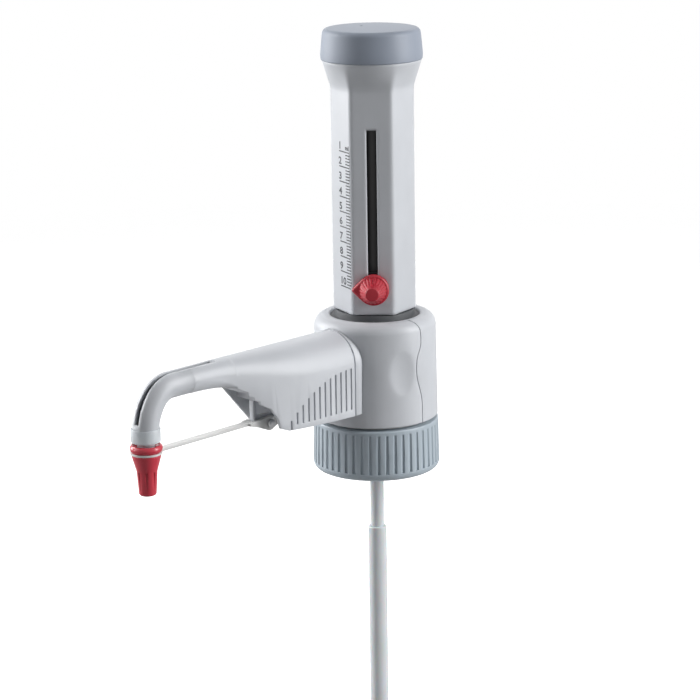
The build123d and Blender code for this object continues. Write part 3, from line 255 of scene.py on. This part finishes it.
# A moulded or machined surface: faint tone changes, a fine grain and an uneven sheen.
# grain is its depth and soft the radius of its rounded edges, both in mm.
def mouldedFinish(name, colour, roughness, grain, mottle=0.03, soft=0.22, **sockets):
    material, tree, shader = newMaterial(name)
    place = tree.nodes.new("ShaderNodeTexCoord")
    cloudy = tree.nodes.new("ShaderNodeTexNoise")
    cloudy.inputs["Scale"].default_value = surface["cloudScale"]
    cloudy.inputs["Detail"].default_value = surface["cloudDetail"]
    tone = tree.nodes.new("ShaderNodeValToRGB")
    tone.color_ramp.elements[0].position = surface["cloudLow"]
    tone.color_ramp.elements[1].position = surface["cloudHigh"]
    tone.color_ramp.elements[0].color = [c * (1 - mottle) for c in colour] + [1]
    tone.color_ramp.elements[1].color = [min(1, c * (1 + mottle)) for c in colour] + [1]
    fine = tree.nodes.new("ShaderNodeTexNoise")
    fine.inputs["Scale"].default_value = 1 / (surface["grainSize"] * mm)
    fine.inputs["Detail"].default_value = surface["grainDetail"]
    sheen = tree.nodes.new("ShaderNodeMapRange")
    sheen.inputs["To Min"].default_value = roughness * (1 - surface["sheenSpread"])
    sheen.inputs["To Max"].default_value = roughness * (1 + surface["sheenSpread"])
    bump = tree.nodes.new("ShaderNodeBump")
    bump.inputs["Strength"].default_value = surface["grainStrength"]
    bump.inputs["Distance"].default_value = grain * mm
    tree.links.new(place.outputs["Object"], cloudy.inputs["Vector"])
    tree.links.new(place.outputs["Object"], fine.inputs["Vector"])
    tree.links.new(cloudy.outputs["Fac"], tone.inputs["Fac"])
    tree.links.new(tone.outputs["Color"], shader.inputs["Base Color"])
    tree.links.new(cloudy.outputs["Fac"], sheen.inputs["Value"])
    tree.links.new(sheen.outputs["Result"], shader.inputs["Roughness"])
    tree.links.new(fine.outputs["Fac"], bump.inputs["Height"])
    rounded = tree.nodes.new("ShaderNodeBevel")
    rounded.samples = surface["bevelSamples"]
    rounded.inputs["Radius"].default_value = soft * mm
    tree.links.new(rounded.outputs["Normal"], bump.inputs["Normal"])
    tree.links.new(bump.outputs["Normal"], shader.inputs["Normal"])
    for socket, value in sockets.items():
        shader.inputs[socket].default_value = value
    return material


casing = {"colour": (0.595, 0.615, 0.65), "roughness": 0.42, "grain": 0.012}
finishes = {
    "light_casing": mouldedFinish("lightCasing", **casing),
    "blue_grey": mouldedFinish("blueGrey", (0.42, 0.485, 0.54), 0.38, grain=0.012),
    "dark_grey": mouldedFinish("darkRing", (0.055, 0.06, 0.066), 0.6, grain=0.02),
    "black_guard": mouldedFinish("blackGuard", (0.010, 0.010, 0.011), 0.45, grain=0.01),
    "red": mouldedFinish("redKnob", (0.43, 0.016, 0.032), 0.42, grain=0.006),
    "white_strap": mouldedFinish("whiteStrap", (0.76, 0.76, 0.75), 0.45, grain=0.01),
    "fluoropolymer": mouldedFinish("waxyWhite", (0.74, 0.77, 0.79), 0.35, grain=0.008,
                                   **{"Subsurface Weight": 0.3, "Subsurface Scale": 0.001}),
    "white_plastic": mouldedFinish("whitePlastic", (0.66, 0.66, 0.65), 0.4, grain=0.01),
    "glass": mouldedFinish("clearGlass", (0.94, 0.97, 0.98), 0.03, grain=0.0, mottle=0.005,
                           **{"Transmission Weight": 1.0, "IOR": 1.47}),
    "ceramic": mouldedFinish("ceramicBall", (0.72, 0.70, 0.65), 0.12, grain=0.004,
                             **{"Coat Weight": 0.4}),
    "steel": mouldedFinish("brightSteel", (0.56, 0.56, 0.57), 0.28, grain=0.01, Metallic=1.0),
}
ink = mouldedFinish("scaleInk", (0.028, 0.032, 0.042), 0.55, grain=0.004)
capGrey = mouldedFinish("capGrey", (0.28, 0.315, 0.38), 0.5, grain=0.01)
sleeveCasing = mouldedFinish("sleeveCasing", soft=1.6, **casing)
tubeGrey = mouldedFinish("tubeGrey", (0.42, 0.45, 0.49), 0.25, grain=0.004,
                         **{"Transmission Weight": 0.3})
# the knob's red made brighter for the tip cap: painted light, the extra brightness stands for the
# stronger light falling on the cap
capRedPaintedLight = mouldedFinish("redCap", (0.64, 0.030, 0.058), 0.32, grain=0.006, **{"Coat Weight": 0.2})
nozzleClear = mouldedFinish("nozzleClear", (0.90, 0.94, 0.97), 0.3, grain=0.004,
                            **{"Transmission Weight": 0.4, "IOR": 1.4})

slotOf = {entry["node"]: entry["material_slot"] for entry in frame["record"]["subparts"]}
bodyOf = {name: node["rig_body"] for name, node in frame["nodes"].items()}
for nodeName, node in frame["nodes"].items():
    node.data.materials.clear()
    node.data.materials.append(finishes[slotOf[nodeName]])
frame["nodes"]["discharge_tube"].data.materials[0] = tubeGrey
print("finishes made")

# edge rounding of the moulded pieces that keep their CAD shape, in mm
edgeRounds = {"front_shell": 0.22, "rear_shell": 0.22, "arm_housing": 0.22, "coupling_plate": 0.3,
              "thread_collar": 0.15, "landing_ring": 0.25, "vent_cap": 0.25, "nozzle_sleeve": 0.2,
              "tip_cap": 0.2, "cap_strap": 0.25, "strap_clip": 0.3, "strap_pin": 0.2,
              "volume_pointer": 0.2, "retaining_ring": 0.2, "neck_seal": 0.2}
# the pieces whose finish differs from the rest of their slot; the tip cap's brighter red is painted
# light
ownFinish = {"nozzle_sleeve": nozzleClear, "tip_cap": capRedPaintedLight}


def roundMouldedPieces():
    for nodeName, width in edgeRounds.items():
        slotName = slotOf[nodeName]
        finish = ownFinish.get(nodeName, finishes[slotName])
        dress(softened(nodeName, width), bodyOf[nodeName], finish, 30, [nodeName])


roundMouldedPieces()
print("moulded pieces rounded")

topCap = {"belly": 21.75, "skirtRadius": 17.4, "skirtBore": 15.8, "skirtDrop": 2.0, "crownRadius": 20.9,
          "round": 2.4, "wall": 2.2, "bore": 18.7, "footRadius": 21.35, "footEdge": (21.6, 0.35),
          "bellyRise": 2.2, "waist": (21.5, 5.0), "roundFrom": 4, "steps": 128,
          "hole": {"radius": 0.8, "depth": 6, "place": (-7.5, 1.7)}}


def makeTopCap():
    size, hole = topCap, topCap["hole"]
    low, high = (z / mm for z in (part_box("top_cap")[0].z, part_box("top_cap")[1].z))
    foot, inside = low + size["skirtDrop"], high - size["wall"]
    belly = foot + size["bellyRise"]
    corner = arc((size["crownRadius"] - size["round"], high - size["round"]), size["round"],
                 size["roundFrom"], 90, 8)
    hollow = [(0, inside), (size["bore"], inside), (size["bore"], belly), (size["skirtBore"], belly)]
    skirt = [(size["skirtBore"], low), (size["skirtRadius"], low), (size["skirtRadius"], foot)]
    outside = [(size["footRadius"], foot), (size["footEdge"][0], foot + size["footEdge"][1]),
               (size["belly"], belly), (size["waist"][0], foot + size["waist"][1])]
    piece = turned("topCap", hollow + skirt + outside + corner + [(0, high)], size["steps"])
    keyHole = rod("keyHole", hole["radius"], hole["depth"], (*hole["place"], high), sides=32)
    cutWith(piece, keyHole)
    dress(piece, "piston_unit", capGrey, 30, ["top_cap"])


makeTopCap()
print("top cap made")

pistonSleeve = {"apothem": 15.65, "corner": 2.0, "wall": 1.9, "flareHeight": 96.3, "topRadius": 21.3,
                "flareBlend": 1.5, "edge": 0.3, "slotWidth": 4.2, "slotFoot": 6.3, "slotTop": 79.5,
                "slotBevel": 0.45, "slotDepth": 3.0, "cutterReach": 0.6, "longEdge": 5,
                "facetCuts": 11, "flareCuts": 6}


def makePistonSleeve():
    size = pistonSleeve
    low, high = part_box("piston_sleeve")[0].z / mm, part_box("piston_sleeve")[1].z / mm
    flare = low + size["flareHeight"]
    clearSelection()
    halfCorner = radians(30)  # half of what one facet spans, seen from the axis
    bpy.ops.mesh.primitive_circle_add(vertices=6, radius=size["apothem"] / cos(halfCorner) * mm,
                                      fill_type="NGON", location=(0, 0, low * mm),
                                      rotation=(0, 0, halfCorner))
    piece = named("pistonSleeve")
    bakePlace(piece)
    bpy.ops.object.mode_set(mode="EDIT")
    bpy.ops.mesh.select_all(action="SELECT")
    cornerRun = size["corner"] * sin(halfCorner) / cos(halfCorner)
    bpy.ops.mesh.bevel(affect="VERTICES", offset=cornerRun * mm, segments=6)
    pick(piece, "edges", lambda ends: (ends[0] - ends[1]).length > size["longEdge"] * mm)
    bpy.ops.mesh.subdivide(number_cuts=size["facetCuts"])
    bpy.ops.mesh.select_all(action="SELECT")
    for rise in (flare - low, high - flare):
        bpy.ops.mesh.extrude_region_move(TRANSFORM_OT_translate={"value": (0, 0, rise * mm)})
    bpy.ops.transform.tosphere(value=1)
    bpy.ops.object.mode_set(mode="OBJECT")
    reach = max(v.co.to_2d().length for v in piece.data.vertices if v.co.z > (high - 1) * mm)
    nearRim = (high - sameHeight) * mm
    pick(piece, "polygons", lambda corners: min(corner.z for corner in corners) > nearRim)
    grow = size["topRadius"] * mm / reach
    bpy.ops.transform.resize(value=(grow, grow, 1), center_override=(0, 0, high * mm))
    tidyMesh(piece)
    pick(piece, "polygons", lambda corners: len(corners) > 8)
    bpy.ops.mesh.delete(type="ONLY_FACE")
    pick(piece, "edges", lambda ends: abs(ends[0].z - ends[1].z) > size["longEdge"] * mm
         and max(end.z for end in ends) > (flare + 1) * mm)
    bpy.ops.mesh.subdivide(number_cuts=size["flareCuts"])
    pick(piece, "edges", lambda ends: all(abs(end.z - flare * mm) < sameHeight * mm for end in ends))
    bpy.ops.mesh.bevel(offset=size["flareBlend"] * mm, segments=4, affect="EDGES")
    bpy.ops.object.mode_set(mode="OBJECT")
    putModifier(piece, "SOLIDIFY", thickness=size["wall"] * mm, offset=-1, use_even_offset=True)
    softenEdges(piece, size["edge"] * mm, 3, 50)
    face, over = -size["apothem"], size["slotBevel"] + size["cutterReach"]
    half, bevelFoot = size["slotWidth"] / 2, face + size["slotBevel"]
    cutter = block("slotCutter", (-half, bevelFoot, low + size["slotFoot"]),
                   (half, face + size["slotDepth"], low + size["slotTop"]))
    outerFace = (bevelFoot + sameHeight) * mm
    pick(cutter, "polygons", lambda corners: all(corner.y < outerFace for corner in corners))
    bpy.ops.mesh.extrude_region_move(TRANSFORM_OT_translate={"value": (0, -over * mm, 0)})
    tall = size["slotTop"] - size["slotFoot"]
    middle = (0, 0, (low + (size["slotFoot"] + size["slotTop"]) / 2) * mm)
    bpy.ops.transform.resize(value=((half + over) / half, 1, (tall + 2 * over) / tall),
                             center_override=middle)
    bpy.ops.object.mode_set(mode="OBJECT")
    cutWith(piece, cutter)
    turnAbout(piece, slotAzimuth)
    dress(piece, "piston_unit", sleeveCasing, 25, ["piston_sleeve"])


makePistonSleeve()
print("piston sleeve made")

# the pointer's clamping knob, a cone with fine grip flutes
knob = {"face": -18.35, "length": 8.0, "baseRadius": 5.9, "endRadius": 2.8, "centre": 64.7, "edge": 0.12,
        "flutes": 22, "fluteRadius": 0.42, "fluteDepth": 0.16, "fluteMiddle": 0.34, "fluteLength": 0.6}


def makeKnob():
    size = knob
    piece = softened("thumb_screw", size["edge"])
    turnAbout(piece, -slotAzimuth)
    slant = Vector((0, -size["length"], size["endRadius"] - size["baseRadius"]))
    lift = size["fluteRadius"] - size["fluteDepth"]
    start = Vector((0, size["face"], size["centre"] + size["baseRadius"] + lift))
    middle = start + slant * size["fluteMiddle"]
    flute = rod("flute", size["fluteRadius"], slant.length * size["fluteLength"], middle, sides=12)
    tilt = slant.to_track_quat("Z", "X").to_matrix().to_4x4()
    flute.matrix_world = Matrix.Translation(middle * mm) @ tilt @ Matrix.Translation(-middle * mm)
    bakePlace(flute)
    flutes = [flute]
    for count in range(1, size["flutes"]):
        takeActive(flute)
        bpy.ops.object.duplicate()
        copy = bpy.context.object
        turnAbout(copy, 360 * count / size["flutes"], "Y", (0, 0, size["centre"]))
        flutes.append(copy)
    clearSelection()
    for cutter in flutes:
        cutter.select_set(True)
    bpy.context.view_layer.objects.active = flute
    bpy.ops.object.join()
    cutWith(piece, flute)
    turnAbout(piece, slotAzimuth)
    dress(piece, "thumb_screw", finishes["red"], 30, ["thumb_screw"])


makeKnob()
print("knob made")

# the printed scale on the facet beside the slot
scaleMarks = {"facetTurn": -60, "perMillilitre": 6.496, "tenMark": 64.7, "ink": 0.05, "line": 0.5,
              "longTick": (-0.9, 8.1), "shortTick": (4.8, 8.4), "digit": 4.3, "digitSide": -1.4,
              "bold": 0.1, "stretch": 1.25, "lift": 1.0, "unit": 2.7, "unitSide": 4.6,
              "marks": 10, "ticksPerMark": 5}


def makeScale():
    size = scaleMarks
    face = -pistonSleeve["apothem"]
    marks = []
    for step in range((size["marks"] - 1) * size["ticksPerMark"] + 1):
        height = size["tenMark"] + step * size["perMillilitre"] / size["ticksPerMark"]
        near, far = size["longTick"] if step % size["ticksPerMark"] == 0 else size["shortTick"]
        tick = block("tick", (near, face - size["ink"], height - size["line"] / 2),
                     (far, face + size["ink"], height + size["line"] / 2))
        marks.append(tick)
    labels = []
    for count in range(size["marks"]):
        foot = size["tenMark"] + count * size["perMillilitre"] + size["lift"]
        labels.append((str(size["marks"] - count), size["digit"], size["digitSide"], foot))
    labels.append(("ml", size["unit"], size["unitSide"], foot))
    for words, tall, across, height in labels:
        clearSelection()
        bpy.ops.object.text_add(location=(0, 0, 0))
        text = bpy.context.object
        text.data.body = words
        text.data.size = tall * mm
        text.data.extrude = size["ink"] * mm
        text.data.offset = size["bold"] * mm
        text.data.resolution_u = 4
        text.data.align_x = "LEFT"
        text.rotation_euler = (radians(90), 0, 0)
        text.scale = (size["stretch"], 1, 1)
        bpy.ops.object.convert(target="MESH")
        text = bpy.context.object
        bakePlace(text)
        text.location = (across * mm, face * mm, height * mm)
        bakePlace(text)
        marks.append(text)
    clearSelection()
    for mark in marks:
        mark.select_set(True)
    bpy.context.view_layer.objects.active = marks[0]
    bpy.ops.object.join()
    piece = named("volumeScale")
    turnAbout(piece, slotAzimuth + size["facetTurn"])
    dress(piece, "piston_unit", ink, 30)


makeScale()
print("scale made")

# the bottle thread inside the collar
collarThread = {"wall": 22.95, "pitch": 4.0, "turns": 3.0, "ridge": 1.3, "wide": 1.9, "tip": 0.7,
                "foot": -15.5, "stepsPerTurn": 72}


def makeCollarThread():
    size = collarThread
    wall, crest = size["wall"], size["wall"] - size["ridge"]
    half, tipHalf = size["wide"] / 2, size["tip"] / 2
    steps = int(size["stepsPerTurn"] * size["turns"])
    section = [(wall, -half), (crest, -tipHalf), (crest, tipHalf), (wall, half)]
    piece = chain("collarThread", [(r, 0, size["foot"] + z) for r, z in section + [section[0]]])
    tidyMesh(piece)
    putModifier(piece, "SCREW", axis="Z", angle=2 * pi * size["turns"], steps=steps, render_steps=steps,
                screw_offset=size["pitch"] * size["turns"] * mm, use_merge_vertices=True)
    takeActive(piece)
    bpy.ops.object.mode_set(mode="EDIT")
    bpy.ops.mesh.select_all(action="DESELECT")
    bpy.ops.mesh.select_non_manifold()
    bpy.ops.mesh.edge_face_add()
    bpy.ops.object.mode_set(mode="OBJECT")
    tidyMesh(piece)
    dress(piece, "collar", finishes["blue_grey"], 30)


makeCollarThread()
print("collar thread made")

# the camera's place in metres and its turn in degrees
view = {"place": (0.69463, -0.74490, 0.29056), "turn": (75.875, 0.845, 43.406), "lens": 124.05,
        "sensor": 36, "near": 0.01}
# the floor's drop below the part is in mm, lengths beside it in metres, fadeEnd a share of its size
stage = {"floorDrop": 3.0, "floorSize": 1.6, "floorSides": 96, "fadeStart": 0.35, "fadeEnd": 0.9,
         "floorPale": 0.9, "floorGlow": 0.8, "floorBounce": 0.42, "ambient": 0.02,
         "ambientColour": (0.75, 0.87, 1.0), "lampTarget": (0, -0.03, 0.06)}


def makeFloor():
    low = cadBox[0][2] - stage["floorDrop"] * mm
    clearSelection()
    bpy.ops.mesh.primitive_circle_add(vertices=stage["floorSides"], radius=stage["floorSize"],
                                      fill_type="NGON", location=(0, 0, low))
    floor = named("floor")
    bakePlace(floor)
    material = bpy.data.materials.new("paleFloor")
    material.use_nodes = True
    tree = material.node_tree
    tree.nodes.clear()
    output = tree.nodes.new("ShaderNodeOutputMaterial")
    plain = tree.nodes.new("ShaderNodeBsdfDiffuse")
    shade = tree.nodes.new("ShaderNodeMix")  # pale to the camera, dim as a bounce
    shade.data_type = "RGBA"
    shade.inputs[6].default_value = [stage["floorBounce"]] * 3 + [1]
    shade.inputs[7].default_value = [stage["floorPale"]] * 3 + [1]
    shine = tree.nodes.new("ShaderNodeEmission")
    rays = tree.nodes.new("ShaderNodeLightPath")
    glow = tree.nodes.new("ShaderNodeMath")
    glow.operation = "MULTIPLY"
    glow.inputs[1].default_value = stage["floorGlow"]
    both = tree.nodes.new("ShaderNodeAddShader")
    clear = tree.nodes.new("ShaderNodeBsdfTransparent")
    place = tree.nodes.new("ShaderNodeTexCoord")
    reach = tree.nodes.new("ShaderNodeVectorMath")
    reach.operation = "LENGTH"
    fade = tree.nodes.new("ShaderNodeMapRange")
    fade.inputs["From Min"].default_value = stage["fadeStart"]
    fade.inputs["From Max"].default_value = stage["floorSize"] * stage["fadeEnd"]
    mix = tree.nodes.new("ShaderNodeMixShader")
    tree.links.new(rays.outputs["Is Camera Ray"], shade.inputs[0])
    tree.links.new(shade.outputs[2], plain.inputs["Color"])
    tree.links.new(rays.outputs["Is Camera Ray"], glow.inputs[0])
    tree.links.new(glow.outputs[0], shine.inputs["Strength"])
    tree.links.new(plain.outputs[0], both.inputs[0])
    tree.links.new(shine.outputs[0], both.inputs[1])
    tree.links.new(place.outputs["Object"], reach.inputs[0])
    tree.links.new(reach.outputs["Value"], fade.inputs["Value"])
    tree.links.new(fade.outputs["Result"], mix.inputs[0])
    tree.links.new(both.outputs[0], mix.inputs[1])
    tree.links.new(clear.outputs[0], mix.inputs[2])
    tree.links.new(mix.outputs[0], output.inputs[0])
    floor.data.materials.append(material)


lamps = [  # name, azimuth and height angle seen from the part, distance, size, watts
    ("leftBox", -72, 18, 0.95, (0.35, 0.9), 9.3),
    ("leftFront", -34, 18, 0.95, (0.3, 0.9), 3.7),
    ("rightBox", 121, 18, 0.95, (0.35, 0.9), 10.0),
    ("topBox", 40, 84, 0.95, (0.6, 0.6), 1.0),
    ("backBox", -137, 35, 1.2, (0.9, 0.6), 1.8),
]


def makeLamps():
    target = Vector(stage["lampTarget"])
    for name, azimuth, height, distance, size, watts in lamps:
        around, up = radians(azimuth), radians(height)
        reach = Vector((sin(around) * cos(up), -cos(around) * cos(up), sin(up))) * distance
        lamp = bpy.data.lights.new(name, "AREA")
        lamp.shape = "RECTANGLE"
        lamp.size, lamp.size_y = size
        lamp.energy = watts
        holder = bpy.data.objects.new(name, lamp)
        bpy.context.scene.collection.objects.link(holder)
        holder.location = target + reach
        holder.rotation_euler = reach.to_track_quat("Z", "Y").to_euler()


def makeWorld():
    world = bpy.data.worlds.new("studio")
    bpy.context.scene.world = world
    world.use_nodes = True
    tree = world.node_tree
    tree.nodes.clear()
    output = tree.nodes.new("ShaderNodeOutputWorld")
    seen = tree.nodes.new("ShaderNodeBackground")
    seen.inputs["Strength"].default_value = 1.0
    seen.inputs["Color"].default_value = (1, 1, 1, 1)
    around = tree.nodes.new("ShaderNodeBackground")
    around.inputs["Strength"].default_value = stage["ambient"]
    around.inputs["Color"].default_value = (*stage["ambientColour"], 1)
    rays = tree.nodes.new("ShaderNodeLightPath")
    first = tree.nodes.new("ShaderNodeMath")
    first.operation = "MAXIMUM"
    second = tree.nodes.new("ShaderNodeMath")
    second.operation = "MAXIMUM"
    mix = tree.nodes.new("ShaderNodeMixShader")
    tree.links.new(rays.outputs["Is Camera Ray"], first.inputs[0])
    tree.links.new(rays.outputs["Is Transmission Ray"], first.inputs[1])
    tree.links.new(rays.outputs["Is Glossy Ray"], second.inputs[0])
    tree.links.new(first.outputs[0], second.inputs[1])
    tree.links.new(second.outputs[0], mix.inputs[0])
    tree.links.new(around.outputs[0], mix.inputs[1])
    tree.links.new(seen.outputs[0], mix.inputs[2])
    tree.links.new(mix.outputs[0], output.inputs[0])


def makeCamera():
    camera = bpy.data.cameras.new("camera")
    camera.lens = view["lens"]
    camera.sensor_width = view["sensor"]
    camera.clip_start = view["near"]
    holder = bpy.data.objects.new("camera", camera)
    bpy.context.scene.collection.objects.link(holder)
    holder.location = view["place"]
    holder.rotation_euler = [radians(a) for a in view["turn"]]
    bpy.context.scene.camera = holder


makeFloor()
makeLamps()
makeWorld()
makeCamera()
bpy.context.scene.view_settings.view_transform = "Standard"
print("stage made")
